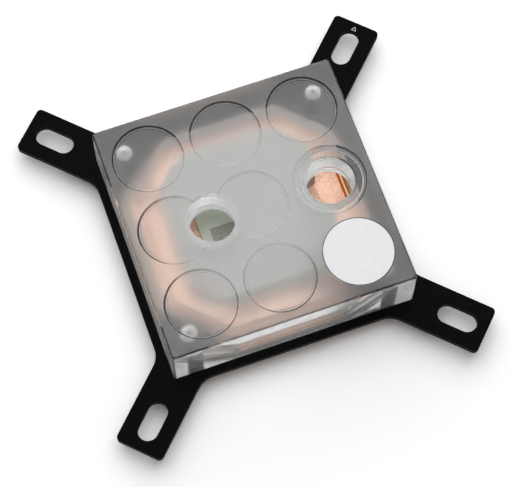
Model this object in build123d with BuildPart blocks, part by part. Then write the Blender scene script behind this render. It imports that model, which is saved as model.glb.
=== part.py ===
from build123d import *
import math
import os

# A liquid cooling block for a processor. All lengths are in millimetres.
# The origin is the centre of the contact face that presses on the processor.
# +Z runs up through the clear top, and +X runs towards the outlet port.

# Clear top
block_width = 62.0
top_height = 15.0
roof_thickness = 8.5  # from the top face down to the ceiling of the flow chamber
top_edge_chamfer = 0.4
side_edge_chamfer = 0.5

# Round recesses milled in the top face, three by three
recess_radius = 8.9  # at the top face
recess_floor_radius = 8.4
recess_depth = 0.5
recess_margin = 2.1  # from an outer recess to the side of the block

# Ports for G 1/4 threads
port_radius = 5.72  # the thread's core
port_chamfer = 0.88
inlet_offset = 10.4  # on the side away from the outlet
outlet_recess_radius = 9.3  # at the top face
outlet_recess_floor_radius = 8.85
outlet_seat_radius = 8.3  # a deeper round seat for the fitting's flange
outlet_seat_depth = 1.0

# Outer seal, between the cold plate and the clear top
rim_wall = 1.5  # from the seal groove to the side of the block
groove_width = 2.2
groove_depth = 1.4
chamber_wall = 0.9  # from the seal groove to the flow chamber
seal_side_clearance = 0.2
corner_radius = 4.0  # of the flow chamber, and the outlines outside it run parallel

# Closing screws, M4 with flat heads
screw_inset = 6.0  # from the side of the block to the screw's axis
screw_radius = 2.0
screw_length = 14.0
screw_head_radius = 4.0
screw_head_sink = 0.3  # from the contact face up to the head
screw_socket_width = 2.5  # across the flats
screw_socket_depth = 1.6
screw_clearance = 0.15
tapped_clearance = 0.05
tapped_depth = 10.0
drill_point_angle = 118.0

# Mounting plate
plate_thickness = 1.6
plate_margin = 2.15  # from the side of the block to the plate's edge
opening_wall = 1.1  # from a screw hole to the plate's opening
opening_clearance = 0.2  # round the cold plate's island
arm_width = 12.35
arm_end_wall = 2.7  # beyond the slot
arm_end_radius = 1.2
arm_root_radius = 6.0
slot_distance = 55.6  # from the plate's centre to the slot's, along the arm
slot_centres = 5.2
slot_radius = 2.5

# Cold plate
flange_thickness = 3.4
flange_corner_radius = 5.0
flange_edge_chamfer = 0.3
island_gap = 0.2  # from the island to the underside of the clear top
seal_land = 0.1  # of the island outside the seal groove
channel_depth = 2.0
ledge_width = 0.9
ledge_depth = 1.0
channel_width = 0.35
channel_pitch = 0.7
channel_exit = 2.0  # length of each channel that shows beyond the insert
channel_land = 1.6  # from the outermost channels to the jet plate's edge

# Jet plate
jet_plate_thickness = 0.8
jet_plate_corner_radius = 1.0
jet_count = 11
jet_width = 0.25
jet_pitch = 0.55
jet_end_wall = 0.2  # from the end of the jets to the insert's pocket
jet_plate_end_margin = 2.2  # from the insert's pocket to the jet plate's end
jet_plate_clearance = 0.1

# Jet insert
insert_half_depth = 18.5
insert_corner_cut = 6.0
insert_outlet_step = 1.3  # from the insert's edge to the outlet's axis
scallop_clearance = 0.5  # round the outlet
insert_end_wall = 3.2  # between the insert's pocket and its ends
insert_roof = 2.0  # over the pocket
pocket_half_depth = 8.4
pocket_margin = 0.88  # from the inlet's wall to the pocket's end
pocket_corner_radius = 2.0
insert_hole_clearance = 0.8  # round the inlet
insert_lip = 0.5  # between the insert's hole and its seal groove
insert_groove_width = 1.6
insert_groove_depth = 1.1
insert_seal_clearance = 0.1

# Badge
badge_recess_radius = 8.8
badge_thickness = 1.5
badge_clearance = 0.1
badge_edge_chamfer = 0.15
adhesive_thickness = 0.15

# Heights
island_top = flange_thickness + plate_thickness - island_gap
chamber_floor = island_top - channel_depth
plate_top = flange_thickness + plate_thickness
top_face = plate_top + top_height
ceiling = top_face - roof_thickness

# Half widths of the square outlines, from the side of the block inwards
block_half = block_width / 2
seal_half = block_half - rim_wall - groove_width / 2
chamber_half = seal_half - groove_width / 2 - chamber_wall
island_half = seal_half + groove_width / 2 + seal_land
opening_half = island_half + opening_clearance
plate_half = block_half + plate_margin

# Places of the screws, and how far from the centre each outline's corners are cut off
screw_offset = block_half - screw_inset
plate_hole_radius = screw_radius + screw_clearance
opening_corner = screw_offset * math.sqrt(2) - plate_hole_radius - opening_wall
island_corner = opening_corner - opening_clearance
seal_corner = island_corner - (island_half - seal_half)
chamber_corner = seal_corner - (seal_half - chamber_half)

# Places along X of the ports, the insert's pocket and the jets
recess_pitch = block_half - recess_margin - recess_radius
outlet_x = recess_pitch
inlet_x = -inlet_offset
scallop_radius = port_radius + scallop_clearance
pocket_left = inlet_x - port_radius - pocket_margin
pocket_right = outlet_x - scallop_radius - insert_end_wall
insert_left = pocket_left - insert_end_wall
insert_right = outlet_x - insert_outlet_step
insert_hole_radius = port_radius + insert_hole_clearance
jet_plate_half = pocket_right + jet_plate_end_margin
jet_length = 2 * (pocket_right - jet_end_wall)
channel_field = 2 * (jet_plate_half - channel_land)
channel_count = int(channel_field / channel_pitch)
mid_block_half_depth = insert_half_depth + channel_exit

corner_signs = [("front_left", -1, -1), ("front_right", 1, -1), ("rear_right", 1, 1), ("rear_left", -1, 1)]


def cut_corner_square(half_width, corner_distance, radius):
    """A square outline whose corners are cut off square to the diagonals, with rounded vertices."""
    with BuildSketch() as outline:
        Rectangle(2 * half_width, 2 * half_width)
        Rectangle(2 * corner_distance, 2 * corner_distance, rotation=45, mode=Mode.INTERSECT)
        fillet(outline.vertices(), radius)
    return outline.sketch


def parallel_outline(distance):
    """The flow chamber's outline, moved outwards by a distance."""
    return cut_corner_square(chamber_half + distance, chamber_corner + distance, corner_radius + distance)


def seal_ring(width):
    """A band of a given width along the middle of the outer seal groove."""
    middle = seal_half - chamber_half
    with BuildSketch() as ring:
        add(parallel_outline(middle + width / 2))
        add(parallel_outline(middle - width / 2), mode=Mode.SUBTRACT)
    return ring.sketch


def recess(top_radius, floor_radius):
    """A shallow round recess with a sloped wall, milled down from the present location."""
    hang = (Align.CENTER, Align.CENTER, Align.MAX)
    Cone(floor_radius, top_radius, recess_depth, align=hang, mode=Mode.SUBTRACT)


def insert_ring(width):
    """A band of a given width along the middle of the insert's seal groove."""
    middle = insert_hole_radius + insert_lip + insert_groove_width / 2
    with BuildSketch() as ring:
        with Locations((inlet_x, 0)):
            Circle(middle + width / 2)
            Circle(middle - width / 2, mode=Mode.SUBTRACT)
    return ring.sketch


# Outlines that several pieces share
chamber_outline = parallel_outline(0)
ledge_outline = parallel_outline(-ledge_width)
island_outline = parallel_outline(island_half - chamber_half)
opening_outline = parallel_outline(opening_half - chamber_half)
screw_places = [(x * screw_offset, y * screw_offset) for _, x, y in corner_signs]
badge_place = (recess_pitch, -recess_pitch)
recess_rows = (-recess_pitch, 0, recess_pitch)
deeper_places = [(outlet_x, 0), badge_place]
recess_places = [(x, y) for x in recess_rows for y in recess_rows if (x, y) not in deeper_places]


# Clear top: one milled block with its flow chamber open below
with BuildPart() as clear_top:
    with BuildSketch(Plane.XY.offset(plate_top)):
        Rectangle(block_width, block_width)
    extrude(amount=top_height)
    chamfer(clear_top.edges().filter_by(Axis.Z), side_edge_chamfer)
    chamfer(clear_top.faces().sort_by(Axis.Z)[-1].edges(), top_edge_chamfer)

    # Shallow recesses in the top face, with deeper ones for the outlet and the badge
    with Locations(*[(x, y, top_face) for x, y in recess_places]):
        recess(recess_radius, recess_floor_radius)
    with Locations((outlet_x, 0, top_face)):
        recess(outlet_recess_radius, outlet_recess_floor_radius)
        Hole(outlet_seat_radius, depth=outlet_seat_depth)
    with Locations((*badge_place, top_face)):
        Hole(badge_recess_radius, depth=adhesive_thickness + badge_thickness)

    # Flow chamber, and the groove of the outer seal
    with BuildSketch(Plane.XY.offset(plate_top)):
        add(chamber_outline)
    extrude(amount=ceiling - plate_top, mode=Mode.SUBTRACT)
    with BuildSketch(Plane.XY.offset(plate_top)):
        add(seal_ring(groove_width))
    extrude(amount=groove_depth, mode=Mode.SUBTRACT)

    # Ports, each with a lead-in cone at its mouth
    for port_x, mouth in [(inlet_x, top_face), (outlet_x, top_face - outlet_seat_depth)]:
        with Locations((port_x, 0, mouth)):
            CounterSinkHole(port_radius, port_radius + port_chamfer, depth=mouth - ceiling, counter_sink_angle=90)

    # Blind holes for the closing screws, with drilled ends
    tapped_radius = screw_radius + tapped_clearance
    drill_point = tapped_radius / math.tan(math.radians(drill_point_angle / 2))
    with BuildSketch(Plane.XY.offset(plate_top)):
        with Locations(*screw_places):
            Circle(tapped_radius)
    extrude(amount=tapped_depth, mode=Mode.SUBTRACT)
    with Locations(*[(x, y, plate_top + tapped_depth + drill_point / 2) for x, y in screw_places]):
        Cone(tapped_radius, 0, drill_point, mode=Mode.SUBTRACT)
clear_top.part.label = "clear_top"


# Mounting plate: flat sheet with four slotted arms, clamped under the clear top
slot_end = slot_distance + slot_centres / 2 + slot_radius
arm_end = slot_end + arm_end_wall
with BuildPart() as mounting_plate:
    with BuildSketch(Plane.XY.offset(flange_thickness)) as plate_outline:
        Rectangle(2 * plate_half, 2 * plate_half)
        Rectangle(2 * arm_end, arm_width, rotation=45)
        Rectangle(2 * arm_end, arm_width, rotation=-45)
        arm_ends = plate_outline.vertices().filter_by(lambda v: v.center().length > slot_distance)
        fillet(arm_ends, arm_end_radius)
        arm_roots = plate_outline.vertices().filter_by(lambda v: v.center().length < slot_distance)
        fillet(arm_roots, arm_root_radius)
        add(opening_outline, mode=Mode.SUBTRACT)
        with Locations(*screw_places):
            Circle(plate_hole_radius, mode=Mode.SUBTRACT)
        with PolarLocations(slot_distance, 4, start_angle=45):
            SlotCenterToCenter(slot_centres, 2 * slot_radius, mode=Mode.SUBTRACT)
    extrude(amount=plate_thickness)
mounting_plate.part.label = "mounting_plate"


# Cold plate: flange below, island through the mounting plate, fins cut between channels
with BuildPart() as cold_plate:
    with BuildSketch():
        RectangleRounded(block_width, block_width, flange_corner_radius)
    extrude(amount=flange_thickness)
    chamfer(cold_plate.faces().sort_by(Axis.Z)[0].edges(), flange_edge_chamfer)
    with BuildSketch(Plane.XY.offset(flange_thickness)):
        add(island_outline)
    extrude(amount=island_top - flange_thickness)

    # Collecting chamber round a raised middle, with a ledge along its outer wall
    with BuildSketch(Plane.XY.offset(island_top)):
        add(chamber_outline)
    extrude(amount=-ledge_depth, mode=Mode.SUBTRACT)
    with BuildSketch(Plane.XY.offset(chamber_floor)):
        add(ledge_outline)
    extrude(amount=channel_depth, mode=Mode.SUBTRACT)
    with BuildSketch(Plane.XY.offset(chamber_floor)):
        with Locations(((insert_left + insert_right) / 2, 0)):
            Rectangle(insert_right - insert_left, 2 * mid_block_half_depth)
    extrude(amount=channel_depth)

    # Microchannels through the raised middle, which leave the fins standing
    with BuildSketch(Plane.XY.offset(chamber_floor)):
        with GridLocations(channel_pitch, 0, channel_count, 1):
            Rectangle(channel_width, 2 * mid_block_half_depth)
    extrude(amount=channel_depth, mode=Mode.SUBTRACT)

    # Countersunk holes for the closing screws, from below
    with Locations(Plane.XY.rotated((180, 0, 0))):
        with Locations(*screw_places):
            CounterSinkHole(
                plate_hole_radius, screw_head_radius + screw_head_sink, counter_sink_angle=90
            )
cold_plate.part.label = "cold_plate"


# Jet plate: thin sheet with a row of narrow jets across the channels
with BuildPart() as jet_plate:
    with BuildSketch(Plane.XY.offset(island_top)):
        RectangleRounded(2 * jet_plate_half, 2 * insert_half_depth, jet_plate_corner_radius)
        with GridLocations(0, jet_pitch, 1, jet_count):
            Rectangle(jet_length, jet_width, mode=Mode.SUBTRACT)
    extrude(amount=jet_plate_thickness)
jet_plate.part.label = "jet_plate"


# Jet insert: block with a pocket below, which spreads the water over the jets and holds their plate down
with BuildPart() as jet_insert:
    with BuildSketch(Plane.XY.offset(island_top)) as insert_outline:
        with Locations(((insert_left + insert_right) / 2, 0)):
            Rectangle(insert_right - insert_left, 2 * insert_half_depth)
        chamfer(insert_outline.vertices(), insert_corner_cut)
        with Locations((outlet_x, 0)):
            Circle(scallop_radius, mode=Mode.SUBTRACT)
        with Locations((inlet_x, 0)):
            Circle(insert_hole_radius, mode=Mode.SUBTRACT)
    extrude(amount=ceiling - island_top)
    with BuildSketch(Plane.XY.offset(island_top)):
        with Locations(((pocket_left + pocket_right) / 2, 0)):
            RectangleRounded(pocket_right - pocket_left, 2 * pocket_half_depth, pocket_corner_radius)
    extrude(amount=ceiling - insert_roof - island_top, mode=Mode.SUBTRACT)
    with BuildSketch(Plane.XY.offset(island_top)):
        Rectangle(2 * (jet_plate_half + jet_plate_clearance), 2 * insert_half_depth)
    extrude(amount=jet_plate_thickness, mode=Mode.SUBTRACT)
    with BuildSketch(Plane.XY.offset(ceiling)):
        add(insert_ring(insert_groove_width))
    extrude(amount=-insert_groove_depth, mode=Mode.SUBTRACT)
jet_insert.part.label = "jet_insert"


# Outer seal: one moulded ring, squeezed between the island and its groove
with BuildPart() as outer_seal:
    with BuildSketch(Plane.XY.offset(island_top)):
        add(seal_ring(groove_width - 2 * seal_side_clearance))
    extrude(amount=plate_top + groove_depth - island_top)
outer_seal.part.label = "outer_seal"


# Insert seal: a round ring between the insert and the ceiling, round the inlet
with BuildPart() as insert_seal:
    with BuildSketch(Plane.XY.offset(ceiling)):
        add(insert_ring(insert_groove_width - 2 * insert_seal_clearance))
    extrude(amount=-insert_groove_depth)
insert_seal.part.label = "insert_seal"


# Badge and the adhesive disc under it, in the recess at the outlet's corner
badge_base = top_face - badge_thickness
badge_radius = badge_recess_radius - badge_clearance
with BuildPart() as badge:
    with BuildSketch(Plane.XY.offset(badge_base)):
        with Locations(badge_place):
            Circle(badge_radius)
    extrude(amount=badge_thickness)
    chamfer(badge.faces().sort_by(Axis.Z)[-1].edges(), badge_edge_chamfer)
badge.part.label = "badge"

with BuildPart() as badge_adhesive:
    with BuildSketch(Plane.XY.offset(badge_base)):
        with Locations(badge_place):
            Circle(badge_radius)
    extrude(amount=-adhesive_thickness)
badge_adhesive.part.label = "badge_adhesive"


def closing_screw(x, y):
    """A flat head screw driven up from the contact side, with its hexagon socket open below."""
    head_base = screw_head_sink
    head_height = screw_head_radius - screw_radius
    tip = head_base + screw_length
    with BuildPart() as screw:
        with BuildSketch(Plane.XZ):
            with BuildLine():
                Polyline(
                    (0, head_base),
                    (screw_head_radius, head_base),
                    (screw_radius, head_base + head_height),
                    (screw_radius, tip),
                    (0, tip),
                    close=True,
                )
            make_face()
        revolve(axis=Axis.Z)
        with BuildSketch(Plane.XY.offset(head_base)):
            RegularPolygon(screw_socket_width / 2, 6, major_radius=False)
        extrude(amount=screw_socket_depth, mode=Mode.SUBTRACT)
    return screw.part.moved(Location((x, y, 0)))


# Closing screws, one in each corner
closing_screws = []
for (corner, _, _), (x, y) in zip(corner_signs, screw_places):
    screw = closing_screw(x, y)
    screw.label = "screw_" + corner
    closing_screws.append(screw)


os.makedirs("parts", exist_ok=True)
export_step(clear_top.part, "parts/clear_top.step")
export_step(mounting_plate.part, "parts/mounting_plate.step")
export_step(cold_plate.part, "parts/cold_plate.step")
export_step(jet_plate.part, "parts/jet_plate.step")
export_step(jet_insert.part, "parts/jet_insert.step")
export_step(outer_seal.part, "parts/outer_seal.step")
export_step(insert_seal.part, "parts/insert_seal.step")
export_step(badge.part, "parts/badge.step")
export_step(badge_adhesive.part, "parts/badge_adhesive.step")
for screw in closing_screws:
    export_step(screw, "parts/" + screw.label + ".step")
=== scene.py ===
import math

import bmesh
import bpy
from mathutils import Matrix, Vector


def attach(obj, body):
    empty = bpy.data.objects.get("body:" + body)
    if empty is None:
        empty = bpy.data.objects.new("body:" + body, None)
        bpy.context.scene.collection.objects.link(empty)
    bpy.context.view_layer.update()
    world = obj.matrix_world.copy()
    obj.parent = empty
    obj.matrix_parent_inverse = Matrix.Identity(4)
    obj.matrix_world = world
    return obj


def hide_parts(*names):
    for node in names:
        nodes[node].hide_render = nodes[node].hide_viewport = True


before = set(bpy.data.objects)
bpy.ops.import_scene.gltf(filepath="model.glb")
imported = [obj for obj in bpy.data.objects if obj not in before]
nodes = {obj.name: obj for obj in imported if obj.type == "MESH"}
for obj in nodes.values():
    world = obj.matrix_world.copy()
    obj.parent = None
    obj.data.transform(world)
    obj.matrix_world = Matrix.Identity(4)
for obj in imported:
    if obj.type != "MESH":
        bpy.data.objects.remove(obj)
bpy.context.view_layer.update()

# Lengths are in millimetres from the centre of the contact face, until a mesh or a node takes them
MM = 0.001
MICRON = 0.000001

# Camera, as in the photograph
TARGET = (-1.39, -6.14, 10.0)
AZIMUTH = math.radians(-19.703)
ELEVATION = math.radians(68.485)
ROLL = math.radians(0.162)
DISTANCE = 485.0
LENS = 138.96
CLIP_START = 10.0
CLIP_END = 10000.0

# Light: a wide lamp overhead, a dim room, and a white sweep that rises behind the object
LAMP_PLACE = (130.0, 400.0, 800.0)
LAMP_SIZE = 1300.0
LAMP_POWER = 7.4
ROOM_LIGHT = 0.30
SWEEP_LIGHT = 1.0
SWEEP_SIDES = (0.3, 0.6)  # it comes in between these shares of the direction to the back
SWEEP_TOP = (0.6, 0.5)  # and it ends between these shares of the direction upwards
FLOOR_SHADE = (0.92, 0.92, 0.92, 1)
FLOOR_SEEN = (1.25, 1.25, 1.25, 1)  # what the camera, metal and plastic see
FLOOR_OPENING = 29.5  # half the width of the opening below the contact face
FLOOR_OPENING_CORNER = 4.0
FLOOR_SPREAD = 50  # how many times the floor is as wide as its opening
WHITE = (1, 1, 1, 1)

# Clear top
BLOCK_HALF = 31.0
UNDERSIDE = 5.0
TOP_FACE = 20.0
TOP_EDGE = 0.4
SIDE_EDGE = 0.5
RECESS_PITCH = 20.0
RECESS_FLOOR = 19.5
# From a recess's floor outwards, as radius and height, with the finish of each band between
RECESS_WALL = [(8.0, 19.5), (8.15, 19.56), (8.35, 19.6), (8.57, 19.66), (8.88, 19.9), (9.0, 20.0)]
SEAT_WALL = [(8.35, 19.5), (8.45, 19.56), (8.62, 19.6), (8.82, 19.66), (9.15, 19.9), (9.28, 20.0)]
# Of these bands, the light edges are a painted highlight and the dark edges painted shade
RECESS_BANDS = ("foot", "slope", "painted_highlight_edge", "painted_shade_edge", "painted_highlight_edge")
SEAT_BANDS = ("foot", "slope", "painted_highlight_edge", "seat_painted_shade_edge", "painted_highlight_edge")
BADGE_FLOOR = 18.35
BADGE_RECESS_RADIUS = 8.8
SEAT_STEP_RADIUS = 8.3
SEAT_STEP_SLOPE = 0.3
SEAT_STEP_TOP = 19.45
SEAT_FLOOR = 19.0
PORT_RADIUS = 5.72
PORT_CHAMFER = 0.88
INLET_X = -10.4
OUTLET_X = 20.0
CEILING = 11.5
CHAMBER_HALF = 26.4
CHAMBER_CORNER = 28.69
CHAMBER_RADIUS = 4.0
GROOVE_INNER = 0.9
GROOVE_OUTER = 3.1
GROOVE_TOP = 6.4
SCREW_OFFSET = 25.0
TAPPED_RADIUS = 2.05
TAPPED_TOP = 15.0
DRILL_TOP = 16.23
DRILL_DOT = 0.45  # radius of the flat left by the drill's tip
DRILL_FROST = 14.2  # the hole is frosted above this height,
DRILL_CLEAR = 0.27  # but not this near its axis

RECESS_STEPS = (-RECESS_PITCH, 0, RECESS_PITCH)
BADGE_PLACE = (RECESS_PITCH, -RECESS_PITCH)
OUTLET_PLACE = (OUTLET_X, 0)
RECESS_PLACES = [(x, y) for x in RECESS_STEPS for y in RECESS_STEPS if (x, y) != BADGE_PLACE]
PORTS = ((INLET_X, TOP_FACE), (OUTLET_X, SEAT_FLOOR))

# Milled middle of the flow chamber's ceiling, frosted with a soft edge
MILLED_CENTRE = (0.2, 1.85, 0)
MILLED_HALF_X = 18.5
MILLED_HALF_Y = 19.3
MILLED_CORNER = 29.8
MILLED_SOFT = 2.2
MILLED_COLOUR = (0.46, 0.465, 0.455, 1)

# Painted shadow on the copper below the outlet, outside two edges that meet in a point. Each edge
# is given by its outward direction. Heights count more, so that it doesn't reach the contact face.
PAINTED_SHADOW_POINT = (18.19, 5.92, 0)
PAINTED_SHADOW_EDGES = ((-0.449, 0.894, 0), (-0.965, -0.262, 0))
PAINTED_SHADOW_SOFT = (-0.08, 0.12)  # it starts between these distances outside an edge,
PAINTED_SHADOW_CENTRE = (22.15, 6.0, 4.2)
PAINTED_SHADOW_REACH = (9.0, 8.0)  # and ends between these distances from its centre
PAINTED_SHADOW_STRETCH = (1, 1, 3.0)
PAINTED_SHADOW_DARK = 0.76
PAINTED_SHADOW_LIGHT = 0.84

# Painted shade: the recesses' edge lines and other faces with an outer tint grow darker between
# these distances from the middle
PAINTED_SHADE_REACH = (14.0, 27.0)

# Painted light on the seal fades to black along the diagonal, and is palest towards the left side
WETTED_ALONG = (0.7, 0.7, 0)
WETTED_LIGHT_FADE = (-12.0, 6.0)
WETTED_SIDE = (-22.0, -28.0)
WETTED_GRAIN_SHARE = 0.3

# Threads: a ridge cuts the ports', and a profile of pitch shares and radii makes the screws'
PORT_PITCH = 1.337
PORT_THREAD_OUTER = 6.58
PORT_THREAD_END = 12.6
PORT_THREAD_START = 0.35  # below the port's mouth
RIDGE_FLANK = math.tan(math.radians(27.5))
RIDGE_DEPTH = 0.3  # how far it reaches into the bore
RIDGE_CREST = 0.05  # half of its flat
RIDGE_ROOT = 0.02
RIDGE_START = 0.05  # the share of its height at its lower end
RIDGE_FADE = 0.6  # of a turn
SCREW_PITCH = 0.7
SCREW_CORE = 1.6
SCREW_RADIUS = 2.0
SCREW_PROFILE = [(0.0, SCREW_CORE), (0.12, SCREW_CORE), (0.5, SCREW_RADIUS), (0.62, SCREW_RADIUS)]
TIP_SHARE = 0.75  # the radius at the tip, as a share of the whole one,
TIP_SLOPE = 0.35  # and what that share gains in the first turn below

# Closing screws
SCREW_HEAD_RADIUS = 4.0
SCREW_HEAD_EDGE = 0.1  # the width of the broken edge round it,
SCREW_HEAD_RIM = 0.08  # and the height
SCREW_BASE = 0.3
SCREW_TIP = 14.3
SCREW_THREAD_START = 3.6
SCREW_OVERLAP = 0.2
SOCKET_WIDTH = 2.5
SOCKET_DEPTH = 1.6
SCREWS = (
    ("front_left", -1, -1), ("front_right", 1, -1), ("rear_right", 1, 1), ("rear_left", -1, 1),
)

# Copper floor of the flow chamber: steps along its outer wall, with hollow corners
FLOOR = 2.8
LEDGE = 3.8
ISLAND_TOP = 4.8
LEDGE_WIDTH = 0.9
HOLLOW_WIDTH = 0.6
HOLLOW_STEPS = 8

# Small mark on the arm of the rear right corner, a triangle in outline
MARK_PLACE = (43.4, 43.5)
MARK_SIZE = 1.1
MARK_LINE = 0.27
MARK_HEIGHT = 0.02
MARK_TURN = 45

# Cutters and faces
OVER = 0.4  # how far a cutter stands out above the face that it cuts
PORT_OVER = 1.0  # the same for the ports
SKIN = 0.02  # between faces that lie on each other, so that each is seen
NEAR = 0.05  # how near a face's middle comes to the surface that it belongs to
AROUND = 0.1  # the same for round walls
LEVEL = 0.9  # the upward share of a level face's direction
SLOPED = 0.1  # and of a sloping one's
TILTED = 0.999  # a face with less isn't quite level
TOUCHING = 1e-9  # heights this near are the same,
MERGED = 1e-8  # and so are points, in metres

# Finishes of the clear top's faces. rough is the lowest and highest roughness, haze the share of
# matt white, grain the noise cells to the metre, tint the brightness of what passes, outer the
# same near the corners, where it is painted shade, through the share that glows with light from
# behind, and milled the share of grey where the ceiling is milled. With air_side, haze meets only
# what comes from outside. The screws touch the wall of the hole, whose ior is near 1 so that
# nothing is reflected there.
FINISHES = {
    "satin": dict(rough=(0.39, 0.45), haze=0.115, grain=900, through=0.11),
    "foot": dict(rough=(0.1, 0.2), haze=0.02, grain=700, tint=0.95, outer=0.5),
    "slope": dict(rough=(0.39, 0.45), haze=0.12, grain=900, through=0.15),
    # Painted highlight on the recesses' edges, and painted shade on their dark edges and the seat's
    "painted_highlight_edge": dict(rough=(0.1, 0.2), haze=0.25, grain=700, tint=0.98),
    "painted_shade_edge": dict(rough=(0.04, 0.1), grain=200, tint=0.9, outer=0.02),
    "seat_painted_shade_edge": dict(rough=(0.06, 0.12), grain=200, tint=0.95, outer=0.4),
    "seat": dict(rough=(0.2, 0.28), haze=0.06, grain=900, tint=0.95, outer=0.55),
    "seat_line": dict(rough=(0.1, 0.2), haze=0.75, grain=700),
    "gap": dict(rough=(0.2, 0.3), grain=400, tint=0.05),
    "polished": dict(rough=(0.12, 0.15), haze=0.24, grain=1800, tint=0.9, air_side=True),
    "top_edge": dict(rough=(0.1, 0.15), grain=1800, tint=0.75),
    "underside": dict(rough=(0.08, 0.12), grain=1800),
    # The groove's wall: painted shade on the rear right, and painted light, frosted and glowing, on
    # the front left
    "groove": dict(rough=(0.15, 0.22), grain=300, tint=0.3),
    "groove_painted_light": dict(rough=(0.3, 0.4), haze=0.3, grain=1800, through=0.2),
    "chamber": dict(rough=(0.2, 0.26), grain=1800, tint=0.5),
    "ceiling": dict(rough=(0.25, 0.35), haze=0.1, grain=500, milled=0.9),
    "port": dict(rough=(0.4, 0.5), haze=0.2, grain=700, tint=0.9, through=0.08, air_side=True),
    "mouth": dict(rough=(0.25, 0.32), haze=0.05, grain=700, tint=0.9),
    "hole": dict(rough=(0.05, 0.1), grain=700, tint=0.9, ior=1.01),
    "drilled": dict(rough=(0.4, 0.5), haze=0.4, grain=700),
}
ACRYLIC_IOR = 1.49
ACRYLIC_TINT = 0.985
ACRYLIC_COOL = 0.005  # added to the tint's green and blue
HAZE_COLOUR = (0.8, 0.8, 0.79, 1)
GLOW_COLOUR = (0.9, 0.9, 0.89, 1)
SHADOW_COLOUR = (0.92, 0.94, 0.94, 1)
HAZE_VARIES = 0.13  # the part of a share that the grain adds or takes away

# Opaque materials: darkest and lightest colour, lowest and highest roughness, noise cells to the
# metre, and relief in thousandths of a millimetre
SOLIDS = {
    "screw_steel": dict(
        dark=(0.05, 0.05, 0.052), light=(0.14, 0.14, 0.145), rough=(0.32, 0.5), grain=2500,
        relief=4, metallic=0.9),
    "print": dict(
        dark=(0.68, 0.68, 0.68), light=(0.8, 0.8, 0.8), rough=(0.5, 0.6), grain=2000, relief=2),
    "black_coating": dict(
        dark=(0.001, 0.001, 0.0011), light=(0.0024, 0.0024, 0.0025), rough=(0.4, 0.5), grain=3000,
        relief=4, specular=0.035),
    "stainless_sheet": dict(
        dark=(0.45, 0.46, 0.39), light=(0.53, 0.535, 0.47), rough=(0.5, 0.62), grain=400, relief=3,
        stretch=(0.3, 14, 1), metallic=1.0),
    "seal_rubber": dict(
        dark=(0.012, 0.012, 0.012), light=(0.03, 0.03, 0.03), rough=(0.5, 0.7), grain=1500,
        relief=10),
    "silicone": dict(
        dark=(0.36, 0.365, 0.36), light=(0.44, 0.445, 0.44), rough=(0.4, 0.55), grain=900,
        relief=6),
    "film": dict(
        dark=(0.72, 0.72, 0.70), light=(0.84, 0.84, 0.82), rough=(0.5, 0.7), grain=600, relief=4),
}
# The other surfaces, with grain, lines and rings to the metre, and relief as above
COPPERS = {
    "copper": dict(dark=(0.6, 0.34, 0.24), light=(0.84, 0.54, 0.42)),
    # The hollow corners get a brighter, more orange copper
    "bright_copper": dict(dark=(0.95, 0.42, 0.15), light=(1.0, 0.5, 0.22)),
}
COPPER_ROUGH = (0.3, 0.44)
COPPER_BROAD = 160
COPPER_FINE = 1500
COPPER_LINES = 2600
COPPER_RELIEF = 4
BADGE_DARK = (0.565, 0.57, 0.575)
BADGE_LIGHT = (0.6, 0.605, 0.61)
BADGE_ROUGH = (0.42, 0.52)
BADGE_GRAIN = 900
BADGE_RINGS = 700
BADGE_RELIEF = 4
WETTED_PAINTED_LIGHT = ((0.18, 0.14, 0.12), (0.38, 0.3, 0.25))
WETTED_BLACK = ((0.01, 0.01, 0.01), (0.03, 0.03, 0.03))
WETTED_ROUGH = (0.4, 0.5)
WETTED_GRAIN = 900
WETTED_RELIEF = 2
BROAD = 8  # how many times as coarse as the fine noise the broad one is
NOISE_RANGE = (0.3, 0.7)  # what noise mostly stays in
SUM_RANGE = (0.75, 1.25)  # and the sum of two


def link(name, data):
    """A new object in the scene."""
    made = bpy.data.objects.new(name, data)
    bpy.context.scene.collection.objects.link(made)
    return made


def mesh_object(name, vertices, faces):
    """A closed mesh from points in millimetres, with its faces turned outwards."""
    mesh = bpy.data.meshes.new(name)
    mesh.from_pydata([tuple(c * MM for c in v) for v in vertices], [], faces)
    shape = bmesh.new()
    shape.from_mesh(mesh)
    bmesh.ops.remove_doubles(shape, verts=shape.verts, dist=MERGED)
    bmesh.ops.recalc_face_normals(shape, faces=shape.faces)
    shape.to_mesh(mesh)
    shape.free()
    return link(name, mesh)


def circle(radius, segments, centre=(0, 0)):
    """Points round a centre."""
    angles = [2 * math.pi * k / segments for k in range(segments)]
    return [(centre[0] + radius * math.cos(a), centre[1] + radius * math.sin(a)) for a in angles]


def band(lower, upper, count):
    """The faces between two closed rows of points, given by the numbers of their first points."""
    pairs = [(k, (k + 1) % count) for k in range(count)]
    return [(lower + a, lower + b, upper + b, upper + a) for a, b in pairs]


def rounded_polygon(corners, radius, steps=10):
    """The points of a closed outline with each corner rounded by an arc."""
    points = []
    count = len(corners)
    for i, corner in enumerate(corners):
        corner = Vector(corner)
        back = (Vector(corners[i - 1]) - corner).normalized()
        ahead = (Vector(corners[(i + 1) % count]) - corner).normalized()
        half = back.angle(ahead) / 2
        middle = corner + (back + ahead).normalized() * (radius / math.sin(half))
        start = corner + back * (radius / math.tan(half)) - middle
        sweep = math.pi - 2 * half
        turn = 1 if back.x * ahead.y - back.y * ahead.x < 0 else -1
        for k in range(steps + 1):
            points.append(tuple(middle + Matrix.Rotation(turn * sweep * k / steps, 2) @ start))
    return points


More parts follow.
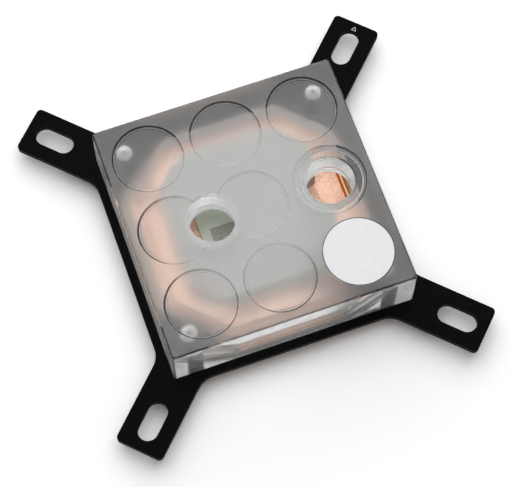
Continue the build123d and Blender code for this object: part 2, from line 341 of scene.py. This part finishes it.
def chamber_points(distance):
    """The flow chamber's outline, moved outwards by a distance."""
    half = CHAMBER_HALF + distance
    cut_off = (CHAMBER_CORNER + distance) * math.sqrt(2) - half
    quarter = [(half, -cut_off), (half, cut_off), (cut_off, half), (-cut_off, half)]
    corners = quarter + [(-x, -y) for x, y in quarter]
    return rounded_polygon(corners, CHAMBER_RADIUS + distance)


def prism(name, levels):
    """A solid through outlines with as many points each, given with their heights from below."""
    n = len(levels[0][0])
    vertices = [(x, y, z) for outline, z in levels for x, y in outline]
    top = (len(levels) - 1) * n
    faces = [tuple(reversed(range(n))), tuple(range(top, top + n))]
    for row in range(len(levels) - 1):
        faces += band(row * n, (row + 1) * n, n)
    return mesh_object(name, vertices, faces)


def ring(name, outlines):
    """A closed band through outlines with as many points each, given with their heights in turn."""
    n = len(outlines[0][0])
    rows = len(outlines)
    vertices = [(x, y, z) for outline, z in outlines for x, y in outline]
    faces = []
    for row in range(rows):
        faces += band(row * n, (row + 1) % rows * n, n)
    return mesh_object(name, vertices, faces)


def chamber_ring(name, profile):
    """A band that follows the flow chamber's outline, from distances and heights in turn."""
    return ring(name, [(chamber_points(distance), z) for distance, z in profile])


def lathe(name, profile, centres, segments):
    """A profile of radii and heights turned round upright axes, from a radius of 0 to one of 0."""
    vertices = []
    faces = []
    inner = profile[1:-1]
    rows = len(inner)
    for centre in centres:
        base = len(vertices)
        for r, z in inner:
            vertices += [(x, y, z) for x, y in circle(r, segments, centre)]
        for row in range(rows - 1):
            faces += band(base + row * segments, base + (row + 1) * segments, segments)
        for row, (_, z) in ((0, profile[0]), (rows - 1, profile[-1])):
            start = base + row * segments
            if abs(inner[row][1] - z) < TOUCHING:
                faces.append(tuple(range(start, start + segments)))
            else:
                vertices.append((*centre, z))
                pole = len(vertices) - 1
                faces += [(start + k, start + (k + 1) % segments, pole) for k in range(segments)]
    return mesh_object(name, vertices, faces)


def helix_cutter(name, x, low, high, segments=72):
    """A pointed ridge wound round a port's axis, which fades out at its lower end."""
    count = int((high - low) / PORT_PITCH * segments)
    inside = PORT_RADIUS - RIDGE_DEPTH
    vertices = []
    for i in range(count + 1):
        angle = 2 * math.pi * i / segments
        z = low + PORT_PITCH * i / segments
        fade = min(1.0, RIDGE_START + i / (RIDGE_FADE * segments))
        crest = inside + (PORT_THREAD_OUTER - inside) * fade
        half = (crest - inside) * RIDGE_FLANK + RIDGE_ROOT
        for r, dz in ((inside, -half), (crest, -RIDGE_CREST), (crest, RIDGE_CREST), (inside, half)):
            vertices.append((x + r * math.cos(angle), r * math.sin(angle), z + dz))
    faces = [(3, 2, 1, 0), tuple(4 * count + k for k in range(4))]
    for i in range(count):
        for k in range(4):
            a, b = 4 * i + k, 4 * i + (k + 1) % 4
            faces.append((a, b, b + 4, a + 4))
    return mesh_object(name, vertices, faces)


def threaded_shank(name, low, high, segments=48):
    """A screw's shank with its thread, closed flat at both ends."""
    turns = int((high - low) / SCREW_PITCH) + 2
    rows = [(turn + share, r) for turn in range(-1, turns) for share, r in SCREW_PROFILE]
    vertices = []
    for height, r in rows:
        for k in range(segments):
            z = low + (height + k / segments) * SCREW_PITCH
            inside = min(max(z, low), high)
            taper = min(1.0, TIP_SHARE + TIP_SLOPE * (high - inside) / SCREW_PITCH)
            radius = min(r, SCREW_RADIUS * taper)
            angle = 2 * math.pi * k / segments
            vertices.append((radius * math.cos(angle), radius * math.sin(angle), inside))
    faces = []
    for row in range(len(rows) - 1):
        for k in range(segments):
            # The seam joins each row's end to the start of the row one turn up
            ahead = row + (len(SCREW_PROFILE) if k == segments - 1 else 0)
            if ahead + 1 >= len(rows):
                continue
            m = (k + 1) % segments
            faces.append((
                row * segments + k, ahead * segments + m,
                (ahead + 1) * segments + m, (row + 1) * segments + k,
            ))
    # The core closes the tip
    base = len(vertices)
    above = base + segments
    for z in (high - 2 * SCREW_PITCH, high):
        vertices += [(x, y, z) for x, y in circle(SCREW_RADIUS * TIP_SHARE, segments)]
    faces += band(base, above, segments)
    faces += [tuple(range(base, above)), tuple(range(above, above + segments))]
    return mesh_object(name, vertices, faces)


def cut(target, cutter):
    """Takes a closed shape away from another, and removes the cutter."""
    modifier = target.modifiers.new("cut", "BOOLEAN")
    modifier.operation = "DIFFERENCE"
    modifier.solver = "EXACT"
    modifier.object = cutter
    bpy.context.view_layer.update()
    graph = bpy.context.evaluated_depsgraph_get()
    mesh = bpy.data.meshes.new_from_object(target.evaluated_get(graph))
    target.modifiers.clear()
    old = target.data
    target.data = mesh
    bpy.data.meshes.remove(old)
    bpy.data.objects.remove(cutter)


def join(target, other):
    """Adds another object's faces to a target's, and removes the other."""
    shape = bmesh.new()
    shape.from_mesh(target.data)
    shape.from_mesh(other.data)
    shape.to_mesh(target.data)
    shape.free()
    bpy.data.objects.remove(other)


def shade(piece, angle=30):
    """Smooth shading, with the edges sharper than an angle kept sharp."""
    mesh = piece.data
    mesh.polygons.foreach_set("use_smooth", [True] * len(mesh.polygons))
    mesh.set_sharp_from_angle(angle=math.radians(angle))
    mesh.update()


def put(piece, *materials):
    """Gives a piece its materials."""
    piece.data.materials.clear()
    for material in materials:
        piece.data.materials.append(material)


def node(tree, kind, inputs=None, **settings):
    """A shader node; each input is a value or another node's output."""
    made = tree.nodes.new(kind)
    for key, value in settings.items():
        setattr(made, key, value)
    for key, value in (inputs or {}).items():
        if isinstance(value, bpy.types.NodeSocket):
            tree.links.new(value, made.inputs[key])
        else:
            made.inputs[key].default_value = value
    return made


def new_material(name):
    """An empty material and its nodes."""
    material = bpy.data.materials.new(name)
    material.use_nodes = True
    material.node_tree.nodes.clear()
    return material, material.node_tree


def show(tree, shader):
    """Makes a shader the surface of its material."""
    node(tree, "ShaderNodeOutputMaterial", {"Surface": shader})


def arithmetic(tree, operation, first, second):
    """A sum, a product or the larger of two numbers."""
    return node(tree, "ShaderNodeMath", {0: first, 1: second}, operation=operation).outputs[0]


def vector(tree, operation, first, second=(0, 0, 0)):
    """A calculation with vectors; a length and a dot product are numbers."""
    made = node(tree, "ShaderNodeVectorMath", {0: first, 1: second}, operation=operation)
    return made.outputs["Value" if operation in ("LENGTH", "DOT_PRODUCT") else "Vector"]


def ramp(tree, value, start, end, low=0.0, high=1.0, **settings):
    """A value carried from one range to another, and held at its ends."""
    inputs = {0: value, 1: start, 2: end, 3: low, 4: high}
    return node(tree, "ShaderNodeMapRange", inputs, **settings).outputs[0]


def fade(tree, distance, ends, **settings):
    """From 0 to 1 between two distances in millimetres."""
    return ramp(tree, distance, ends[0] * MM, ends[1] * MM, **settings)


def place_from(tree, centre=(0, 0, 0)):
    """The position in the part's own frame, from a centre in millimetres."""
    place = node(tree, "ShaderNodeTexCoord").outputs["Object"]
    if not any(centre):
        return place
    return vector(tree, "SUBTRACT", place, [c * MM for c in centre])


def noise(tree, scale, detail=3.0, stretch=(1, 1, 1)):
    """Noise over the position, with so many cells to the metre."""
    place = vector(tree, "MULTIPLY", place_from(tree), stretch)
    inputs = {"Vector": place, "Scale": scale, "Detail": detail}
    return node(tree, "ShaderNodeTexNoise", inputs).outputs[0]


def spread(tree, value, low, high):
    """A noise value carried to a range."""
    return ramp(tree, value, *NOISE_RANGE, low, high)


def bump(tree, height, microns, strength=1.0):
    """Relief from a height value."""
    inputs = {"Height": height, "Distance": microns * MICRON, "Strength": strength}
    return node(tree, "ShaderNodeBump", inputs).outputs[0]


def blend(tree, factor, first, second):
    """A colour between two, each given by three numbers or by another node's output."""
    first, second = (c if isinstance(c, bpy.types.NodeSocket) else (*c, 1) for c in (first, second))
    mix = node(tree, "ShaderNodeMix", {0: factor, 6: first, 7: second}, data_type="RGBA")
    return mix.outputs[2]


def layer(tree, share, first, second):
    """A shader between two."""
    return node(tree, "ShaderNodeMixShader", {0: share, 1: first, 2: second}).outputs[0]


def principled(tree, inputs):
    """The main shader."""
    return node(tree, "ShaderNodeBsdfPrincipled", inputs).outputs[0]


def milled_mask(tree):
    """1 over the milled middle of the flow chamber's ceiling and 0 round it, with a soft edge."""
    away = vector(tree, "ABSOLUTE", place_from(tree, MILLED_CENTRE))
    x, y, _ = node(tree, "ShaderNodeSeparateXYZ", {0: away}).outputs
    total = arithmetic(tree, "ADD", x, y)
    mask = 1.0
    for value, limit in ((x, MILLED_HALF_X), (y, MILLED_HALF_Y), (total, MILLED_CORNER)):
        ends = (limit + MILLED_SOFT, limit - MILLED_SOFT)
        inside = fade(tree, value, ends, interpolation_type="SMOOTHSTEP")
        mask = arithmetic(tree, "MULTIPLY", inside, mask)
    return mask


def painted_shade_mask(tree):
    """0 near the block's upright axis and 1 near its corners, where shade is painted."""
    away = vector(tree, "LENGTH", vector(tree, "MULTIPLY", place_from(tree), (1, 1, 0)))
    return fade(tree, away, PAINTED_SHADE_REACH)


def painted_shadow_mask(tree):
    """1 where shadow is painted on the copper below the outlet."""
    moved = place_from(tree, PAINTED_SHADOW_POINT)
    mask = 0.0
    for outwards in PAINTED_SHADOW_EDGES:
        along = vector(tree, "DOT_PRODUCT", moved, outwards)
        beyond = fade(tree, along, PAINTED_SHADOW_SOFT)
        mask = arithmetic(tree, "MAXIMUM", beyond, mask)
    moved = vector(tree, "MULTIPLY", place_from(tree, PAINTED_SHADOW_CENTRE), PAINTED_SHADOW_STRETCH)
    near = fade(tree, vector(tree, "LENGTH", moved), PAINTED_SHADOW_REACH)
    return arithmetic(tree, "MULTIPLY", near, mask)


def acrylic_material(
        name, rough, grain, haze=0.0, tint=ACRYLIC_TINT, outer=None, through=0.0, milled=0.0,
        air_side=False, ior=ACRYLIC_IOR):
    """Clear plastic whose surface is more or less frosted, and which lets lamplight through."""
    material, tree = new_material(name)
    fine = noise(tree, grain)
    colour = (tint, tint + ACRYLIC_COOL, tint + ACRYLIC_COOL, 1)
    # Painted shade: the tint grows darker towards the block's corners
    if outer is not None:
        colour = blend(tree, painted_shade_mask(tree), (tint, tint, tint), (outer, outer, outer))
    body = principled(tree, {
        "Base Color": colour, "Roughness": spread(tree, fine, *rough), "IOR": ior,
        "Transmission Weight": 1.0,
    })
    for amount, kind, pale in (
            (haze, "ShaderNodeBsdfDiffuse", HAZE_COLOUR),
            (through, "ShaderNodeBsdfTranslucent", GLOW_COLOUR)):
        if not amount:
            continue
        matt = node(tree, kind, {"Color": pale}).outputs[0]
        share = spread(tree, fine, amount * (1 - HAZE_VARIES), amount * (1 + HAZE_VARIES))
        if air_side:
            inside = node(tree, "ShaderNodeNewGeometry").outputs["Backfacing"]
            share = ramp(tree, inside, 0.0, 1.0, share, 0.0)
        body = layer(tree, share, body, matt)
    if milled:
        matt = node(tree, "ShaderNodeBsdfDiffuse", {"Color": MILLED_COLOUR}).outputs[0]
        body = layer(tree, arithmetic(tree, "MULTIPLY", milled_mask(tree), milled), body, matt)
    shadow = node(tree, "ShaderNodeLightPath").outputs["Is Shadow Ray"]
    clear = node(tree, "ShaderNodeBsdfTransparent", {"Color": SHADOW_COLOUR}).outputs[0]
    show(tree, layer(tree, shadow, body, clear))
    return material


def solid_material(
        name, dark, light, rough, grain, relief, stretch=(1, 1, 1), metallic=0.0, specular=0.5):
    """An opaque surface with its colour, roughness and relief varied by the same grain."""
    material, tree = new_material(name)
    fine = noise(tree, grain, stretch=stretch)
    both = arithmetic(tree, "ADD", noise(tree, grain / BROAD), fine)
    show(tree, principled(tree, {
        "Base Color": blend(tree, ramp(tree, both, *SUM_RANGE), dark, light),
        "Roughness": spread(tree, fine, *rough), "Metallic": metallic,
        "Specular IOR Level": specular, "Normal": bump(tree, fine, relief),
    }))
    return material


def wetted_material():
    """The seal through the plastic that it wets: painted light, palest on the left, black to the
    rear and right.
    """
    material, tree = new_material("acrylic_wetted")
    fine = noise(tree, WETTED_GRAIN)
    place = place_from(tree)
    along = vector(tree, "DOT_PRODUCT", place, WETTED_ALONG)
    painted_light_fades = fade(tree, along, WETTED_LIGHT_FADE)
    x = node(tree, "ShaderNodeSeparateXYZ", {0: place}).outputs[0]
    side = fade(tree, x, WETTED_SIDE)
    grain = {0: fine, 1: WETTED_GRAIN_SHARE, 2: side}
    tone = node(tree, "ShaderNodeMath", grain, operation="MULTIPLY_ADD").outputs[0]
    # pale is the painted light, and the other tone the seal's own black
    pale, darker = blend(tree, tone, *WETTED_PAINTED_LIGHT), blend(tree, fine, *WETTED_BLACK)
    show(tree, principled(tree, {
        "Base Color": blend(tree, painted_light_fades, pale, darker),
        "Roughness": spread(tree, fine, *WETTED_ROUGH), "Normal": bump(tree, fine, WETTED_RELIEF),
    }))
    return material


def copper_material(name, dark, light):
    """Milled copper with fine lines left by the cutter, and a painted shadow below the outlet."""
    material, tree = new_material(name)
    broad = noise(tree, COPPER_BROAD, detail=4.0)
    fine = noise(tree, COPPER_FINE)
    marks = node(tree, "ShaderNodeTexWave", {
        "Vector": place_from(tree), "Scale": COPPER_LINES, "Distortion": 2.0, "Detail": 2.0,
        "Detail Scale": 0.3,
    }, wave_type="BANDS", bands_direction="DIAGONAL").outputs[1]
    relief = arithmetic(tree, "ADD", marks, fine)
    tone = ramp(tree, arithmetic(tree, "ADD", broad, fine), *SUM_RANGE)
    # The copper in light, and a darker copy of it for the painted shadow
    lit_copper = blend(tree, tone, dark, light)
    darker = blend(tree, tone, [PAINTED_SHADOW_DARK * c for c in dark], [PAINTED_SHADOW_LIGHT * c for c in light])
    show(tree, principled(tree, {
        "Base Color": blend(tree, painted_shadow_mask(tree), lit_copper, darker),
        "Roughness": spread(tree, fine, *COPPER_ROUGH), "Metallic": 1.0,
        "Normal": bump(tree, relief, COPPER_RELIEF, strength=0.8),
    }))
    return material


def badge_material():
    """Satin aluminium turned in fine rings."""
    material, tree = new_material("badge_aluminium")
    fine = noise(tree, BADGE_GRAIN)
    turned = node(tree, "ShaderNodeTexWave", {
        "Vector": place_from(tree, (*BADGE_PLACE, 0)), "Scale": BADGE_RINGS, "Distortion": 1.5,
        "Detail": 2.0, "Detail Scale": 2.0,
    }, wave_type="RINGS", rings_direction="Z").outputs[1]
    show(tree, principled(tree, {
        "Base Color": blend(tree, spread(tree, fine, 0.0, 1.0), BADGE_DARK, BADGE_LIGHT),
        "Roughness": ramp(tree, turned, 0.0, 1.0, *BADGE_ROUGH), "Metallic": 1.0,
        "Normal": bump(tree, turned, BADGE_RELIEF, strength=0.5),
    }))
    return material


def make_camera():
    """A long lens above the block, turned a little to the left."""
    back = Vector((
        math.sin(AZIMUTH) * math.cos(ELEVATION),
        -math.cos(AZIMUTH) * math.cos(ELEVATION),
        math.sin(ELEVATION),
    ))
    camera = link("camera", bpy.data.cameras.new("camera"))
    camera.data.lens = LENS
    camera.data.clip_start = CLIP_START * MM
    camera.data.clip_end = CLIP_END * MM
    turn = (-back).to_track_quat("-Z", "Y").to_matrix() @ Matrix.Rotation(ROLL, 3, "Z")
    place = (Vector(TARGET) + back * DISTANCE) * MM
    camera.matrix_world = Matrix.LocRotScale(place, turn.to_quaternion(), None)
    bpy.context.scene.camera = camera


def make_lamp():
    """A wide square lamp that faces the object."""
    lamp = link("overhead", bpy.data.lights.new("overhead", "AREA"))
    lamp.data.size = LAMP_SIZE * MM
    lamp.data.energy = LAMP_POWER
    lamp.location = Vector(LAMP_PLACE) * MM
    lamp.rotation_euler = (-lamp.location).to_track_quat("-Z", "Y").to_euler()


def make_world():
    """A dim room with a white sweep behind the object, which the camera sees white all round."""
    world = bpy.data.worlds.new("world")
    world.use_nodes = True
    bpy.context.scene.world = world
    tree = world.node_tree
    tree.nodes.clear()
    towards = node(tree, "ShaderNodeTexCoord").outputs["Generated"]
    _, y, z = node(tree, "ShaderNodeSeparateXYZ", {0: towards}).outputs
    sweep = arithmetic(tree, "MULTIPLY", ramp(tree, y, *SWEEP_SIDES), ramp(tree, z, *SWEEP_TOP))
    lit = ramp(tree, sweep, 0.0, 1.0, ROOM_LIGHT, SWEEP_LIGHT)
    seen = node(tree, "ShaderNodeLightPath").outputs["Is Camera Ray"]
    strength = arithmetic(tree, "MAXIMUM", lit, seen)
    back = node(tree, "ShaderNodeBackground", {"Color": WHITE, "Strength": strength})
    node(tree, "ShaderNodeOutputWorld", {"Surface": back.outputs[0]})


def make_floor():
    """A white floor that keeps the object's shadow, open where the contact face hides it."""
    h = FLOOR_OPENING
    corners = [(h, -h), (h, h), (-h, h), (-h, -h)]
    opening = rounded_polygon(corners, FLOOR_OPENING_CORNER, steps=6)
    n = len(opening)
    vertices = [(x * k * MM, y * k * MM, -SKIN * MM) for k in (FLOOR_SPREAD, 1) for x, y in opening]
    mesh = bpy.data.meshes.new("floor")
    mesh.from_pydata(vertices, [], band(0, n, n))
    floor = link("floor", mesh)
    material, tree = new_material("floor")
    lit = node(tree, "ShaderNodeBsdfDiffuse", {"Color": FLOOR_SHADE}).outputs[0]
    bright = node(tree, "ShaderNodeBsdfDiffuse", {"Color": FLOOR_SEEN}).outputs[0]
    path = node(tree, "ShaderNodeLightPath").outputs
    seen = arithmetic(tree, "MAXIMUM", path["Is Camera Ray"], path["Is Glossy Ray"])
    seen = arithmetic(tree, "MAXIMUM", seen, path["Is Transmission Ray"])
    # Seen from below, it gives a free view of the contact face
    below = node(tree, "ShaderNodeNewGeometry").outputs["Backfacing"]
    free = node(tree, "ShaderNodeBsdfTransparent").outputs[0]
    show(tree, layer(tree, below, layer(tree, seen, lit, bright), free))
    put(floor, material)


def raised(wall):
    """A wall's profile, with its last slope drawn on above the top face."""
    (r0, z0), (r1, z1) = wall[-2:]
    return wall[:-1] + [(r1 + (r1 - r0) / (z1 - z0) * OVER, z1 + OVER)]


def plain_block():
    """The clear top's outside, with its edges broken."""
    e, h, t = SIDE_EDGE, BLOCK_HALF, TOP_EDGE
    half = [(h, -h + e), (h, h - e), (h - e, h), (-h + e, h)]
    corners = half + [(-x, -y) for x, y in half]
    upper = [(x * (h - t) / h, y * (h - t) / h) for x, y in corners]
    levels = [(corners, UNDERSIDE + SKIN), (corners, TOP_FACE - t), (upper, TOP_FACE)]
    return prism("clear_top_block", levels)


def clear_top_cutters():
    """What is milled, bored, drilled and tapped out of the clear top."""
    high, low = TOP_FACE + OVER, UNDERSIDE - OVER
    plain = [place for place in RECESS_PLACES if place != OUTLET_PLACE]
    yield lathe("recesses", [
        (0, RECESS_FLOOR), *raised(RECESS_WALL), (0, high),
    ], plain, segments=128)
    yield lathe("badge_recess", [
        (0, BADGE_FLOOR), (BADGE_RECESS_RADIUS, BADGE_FLOOR), (BADGE_RECESS_RADIUS, high),
        (0, high),
    ], [BADGE_PLACE], segments=128)
    yield lathe("seat", [
        (0, SEAT_FLOOR), (SEAT_STEP_RADIUS - SEAT_STEP_SLOPE, SEAT_FLOOR),
        (SEAT_STEP_RADIUS, SEAT_STEP_TOP), *raised(SEAT_WALL), (0, high),
    ], [OUTLET_PLACE], segments=128)
    outline = chamber_points(0)
    yield prism("chamber", [(outline, low), (outline, CEILING + SKIN)])
    yield chamber_ring("groove", [
        (GROOVE_OUTER, low), (GROOVE_OUTER, GROOVE_TOP + SKIN), (GROOVE_INNER, GROOVE_TOP + SKIN),
        (GROOVE_INNER, low),
    ])
    screws = [(x * SCREW_OFFSET, y * SCREW_OFFSET) for x in (-1, 1) for y in (-1, 1)]
    dot = DRILL_TOP - DRILL_DOT * (DRILL_TOP - TAPPED_TOP) / TAPPED_RADIUS
    yield lathe("tapped_holes", [
        (0, low), (TAPPED_RADIUS, low), (TAPPED_RADIUS, DRILL_FROST), (TAPPED_RADIUS, TAPPED_TOP),
        (DRILL_DOT, dot), (0, dot),
    ], screws, segments=48)
    for x, mouth in PORTS:
        yield lathe("port", [
            (0, CEILING - PORT_OVER), (PORT_RADIUS, CEILING - PORT_OVER),
            (PORT_RADIUS, mouth - PORT_CHAMFER),
            (PORT_RADIUS + PORT_CHAMFER + PORT_OVER, mouth + PORT_OVER), (0, mouth + PORT_OVER),
        ], [(x, 0)], segments=96)
        yield helix_cutter("thread", x, PORT_THREAD_END, mouth - PORT_THREAD_START)


def outside_chamber(x, y):
    """How far a place lies outside the flow chamber's outline."""
    sides = max(abs(x), abs(y)) - CHAMBER_HALF
    return max(sides, (abs(x) + abs(y)) / math.sqrt(2) - CHAMBER_CORNER)


def recess_kind(x, y, z):
    """Which band of a recess's wall a place lies in, if any."""
    for px, py in RECESS_PLACES:
        seat = (px, py) == OUTLET_PLACE
        wall, kinds = (SEAT_WALL, SEAT_BANDS) if seat else (RECESS_WALL, RECESS_BANDS)
        away = math.hypot(x - px, y - py)
        for kind, (r0, z0), (r1, z1) in zip(kinds, wall, wall[1:]):
            if r0 < away < r1 and z0 - NEAR < z < z1 + NEAR:
                return kind
    return None


def surface_kind(centre, normal):
    """Which surface of the clear top a face belongs to."""
    x, y, z = (c / MM for c in centre)
    up, flat = normal.z > LEVEL, abs(normal.z) > LEVEL
    port, mouth = min((math.hypot(x - px, y), top) for px, top in PORTS)
    outlet = math.hypot(x - OUTLET_X, y)
    screw = math.hypot(abs(x) - SCREW_OFFSET, abs(y) - SCREW_OFFSET)
    chamfer = PORT_RADIUS + z - mouth + PORT_CHAMFER
    if max(abs(x), abs(y)) > BLOCK_HALF - TOP_EDGE - NEAR and not flat:
        return "top_edge" if normal.z > SLOPED else "polished"
    if abs(port - chamfer) < NEAR and SLOPED < normal.z < LEVEL:
        return "mouth"
    if z > RECESS_FLOOR - NEAR:
        kind = recess_kind(x, y, z) if normal.z < TILTED else None
        if kind or up:
            return kind or "satin"
    if abs(z - SEAT_FLOOR) < NEAR and up and outlet < SEAT_STEP_RADIUS:
        return "seat"
    if port < PORT_THREAD_OUTER + AROUND and z > CEILING + NEAR:
        return "port"
    if outlet < SEAT_WALL[-1][0] + AROUND and z > SEAT_FLOOR - NEAR:
        return "seat_line"
    if z > BADGE_FLOOR - NEAR:
        return "satin" if up else "gap"
    if z < UNDERSIDE + NEAR:
        return "underside"
    if screw < TAPPED_RADIUS + AROUND:
        return "drilled" if z > DRILL_FROST + NEAR and screw > DRILL_CLEAR else "hole"
    if z < GROOVE_TOP + NEAR and outside_chamber(x, y) > GROOVE_INNER / 2:
        if normal.z < -LEVEL:
            return "wetted"
        # Lit and shaded copies of the groove's wall: painted light on the front left, painted shade
        # elsewhere
        return "groove_painted_light" if x + y < 0 else "groove"
    return "ceiling" if z > CEILING and normal.z < -LEVEL else "chamber"


def make_clear_top():
    """The milled block, with the threads and curved recess walls that the solid leaves out."""
    top = plain_block()
    for cutter in clear_top_cutters():
        cut(top, cutter)
    shade(top)
    materials = {
        kind: acrylic_material("acrylic_" + kind, **look) for kind, look in FINISHES.items()
    }
    materials["wetted"] = wetted_material()
    put(top, *materials.values())
    kinds = list(materials)
    for polygon in top.data.polygons:
        polygon.material_index = kinds.index(surface_kind(polygon.center, polygon.normal))
    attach(top, "root")
    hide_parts("clear_top")


def make_screw(name, place, material):
    """A flat head screw with its thread and its hexagon socket."""
    neck = SCREW_BASE + SCREW_HEAD_RADIUS - SCREW_RADIUS
    head = lathe(name + "_thread", [
        (0, SCREW_BASE), (SCREW_HEAD_RADIUS - SCREW_HEAD_EDGE, SCREW_BASE),
        (SCREW_HEAD_RADIUS, SCREW_BASE + SCREW_HEAD_RIM), (SCREW_RADIUS, neck),
        (SCREW_RADIUS, SCREW_THREAD_START), (0, SCREW_THREAD_START),
    ], [(0, 0)], segments=64)
    hexagon = circle(SOCKET_WIDTH / math.sqrt(3), 6)
    cut(head, prism("socket", [(hexagon, SCREW_BASE - OVER), (hexagon, SCREW_BASE + SOCKET_DEPTH)]))
    join(head, threaded_shank("shank", SCREW_THREAD_START - SCREW_OVERLAP, SCREW_TIP))
    shade(head, angle=25)
    head.location = (place[0] * MM, place[1] * MM, 0)
    put(head, material)
    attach(head, "root")
    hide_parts(name)


def make_hollow(name, low, high, wall, material):
    """A hollow corner between a flat step and the wall that rises from it."""
    profile = [(wall, low)]
    for k in range(HOLLOW_STEPS + 1):
        angle = math.radians(90 * k / HOLLOW_STEPS)
        out, up = HOLLOW_WIDTH * (1 - math.sin(angle)), (high - low) * (1 - math.cos(angle))
        profile.append((wall - out, low + up))
    hollow = chamber_ring(name, profile)
    shade(hollow)
    put(hollow, material)
    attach(hollow, "root")


def make_mark(material):
    """A thin triangle printed on one arm, as an outline."""
    low, high = UNDERSIDE, UNDERSIDE + MARK_HEIGHT
    angles = [math.radians(MARK_TURN + 120 * k) for k in range(3)]
    cx, cy = MARK_PLACE
    inner, outer = (
        [(cx + r * math.cos(a), cy + r * math.sin(a)) for a in angles]
        for r in (MARK_SIZE / 2, MARK_SIZE / 2 + MARK_LINE))
    mark = ring("arm_mark", [(outer, low), (outer, high), (inner, high), (inner, low)])
    put(mark, material)
    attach(mark, "root")


make_camera()
make_world()
make_floor()
make_lamp()
coppers = {name: copper_material(name, **colours) for name, colours in COPPERS.items()}
solids = {name: solid_material(name, **look) for name, look in SOLIDS.items()}
make_clear_top()
make_hollow("floor_corner", FLOOR, LEDGE, -LEDGE_WIDTH, coppers["bright_copper"])
make_hollow("ledge_corner", LEDGE, ISLAND_TOP, 0.0, coppers["bright_copper"])
for name, x, y in SCREWS:
    make_screw("screw_" + name, (x * SCREW_OFFSET, y * SCREW_OFFSET), solids["screw_steel"])
    put(nodes["screw_" + name], solids["screw_steel"])
make_mark(solids["print"])
put(nodes["clear_top"], acrylic_material("clear_acrylic_hidden", (0.4, 0.5), grain=600, haze=0.1))
put(nodes["mounting_plate"], solids["black_coating"])
put(nodes["cold_plate"], coppers["copper"])
put(nodes["jet_plate"], solids["stainless_sheet"])
put(nodes["jet_insert"], acrylic_material("frosted_acrylic", (0.35, 0.45), grain=500, haze=0.15))
put(nodes["outer_seal"], solids["seal_rubber"])
put(nodes["insert_seal"], solids["silicone"])
put(nodes["badge"], badge_material())
put(nodes["badge_adhesive"], solids["film"])

scene = bpy.context.scene
scene.view_settings.view_transform = "Standard"
